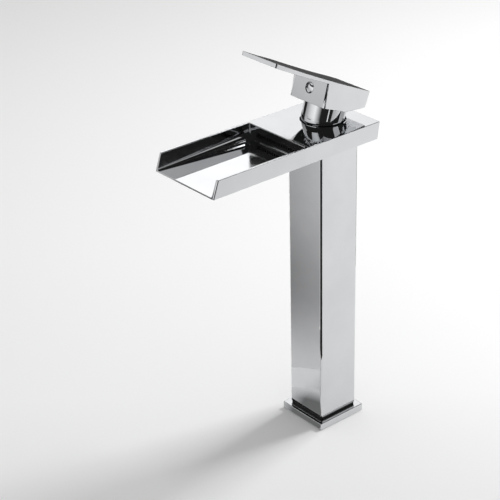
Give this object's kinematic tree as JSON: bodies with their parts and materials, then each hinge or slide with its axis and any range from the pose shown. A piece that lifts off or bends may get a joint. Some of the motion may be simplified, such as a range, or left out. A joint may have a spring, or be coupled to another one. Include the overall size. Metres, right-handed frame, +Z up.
{
  "type": "waterfall basin faucet",
  "caption": "Tall square basin faucet whose flat head ends in an open waterfall trough, with a tilting and swivelling lever over a ceramic disc cartridge.",
  "frame": {"origin": "centre of the square column at the underside of the base plate, at the mouth of the fixing stud hole", "axes": "+Z up along the column, -Y along the spout to the trough's mouth, +X to the user's right"},
  "size_m": [0.0712, 0.1738, 0.3442],
  "materials": {
    "chrome": "polished chrome plate",
    "brass": "machined",
    "copper": "drawn copper tube",
    "steel": "stainless, turned",
    "rubber": "moulded black rubber",
    "black_plastic": "moulded black plastic",
    "white_plastic": "moulded acetal",
    "ceramic": "lapped alumina"
  },
  "bodies": {
    "root": {"base_flange": "chrome", "base_gasket": "rubber", "spacer_frame": "rubber", "foot_block": "brass", "column": "chrome", "hot_tube": "copper", "cold_tube": "copper", "tube_seals": "rubber", "tie_rods": "steel", "tie_rod_nuts": "steel", "valve_block": "brass", "bottom_cover": "steel", "cover_screws": "steel", "spout_body": "chrome", "outlet_duct": "black_plastic", "duct_seals": "rubber", "outlet_grille": "black_plastic", "cartridge_base": "black_plastic", "port_seals": "rubber", "cartridge_housing": "white_plastic", "housing_seal": "rubber", "retaining_nut": "brass", "fixed_disc": "ceramic"},
    "swivel": {"stem_carrier": "white_plastic", "pivot_pin": "steel"},
    "lever": {"lever_stem": "steel", "handle": "chrome", "set_screw": "steel", "index_plug": "chrome"},
    "disc": {"moving_disc": "ceramic", "disc_carrier": "white_plastic"}
  },
  "joints": [
    {"name": "temperature_swivel", "type": "hinge", "parent": "root", "child": "swivel", "pos_m": [0, 0, 0.2778], "axis": [0, 0, 1], "range_deg": [-40, 40]},
    {"name": "lever_lift", "type": "hinge", "parent": "swivel", "child": "lever", "pos_m": [0, 0, 0.2778], "axis": [-1, 0, 0], "range_deg": [-17, 3]},
    {"name": "disc_slide", "type": "slide", "parent": "swivel", "child": "disc", "axis": [0, -1, 0], "range_m": [-0.0027, 0.0005]}
  ],
  "couplings": [
    {"joint": "disc_slide", "follows": "lever_lift", "m_per_rad": 0.00896}
  ]
}
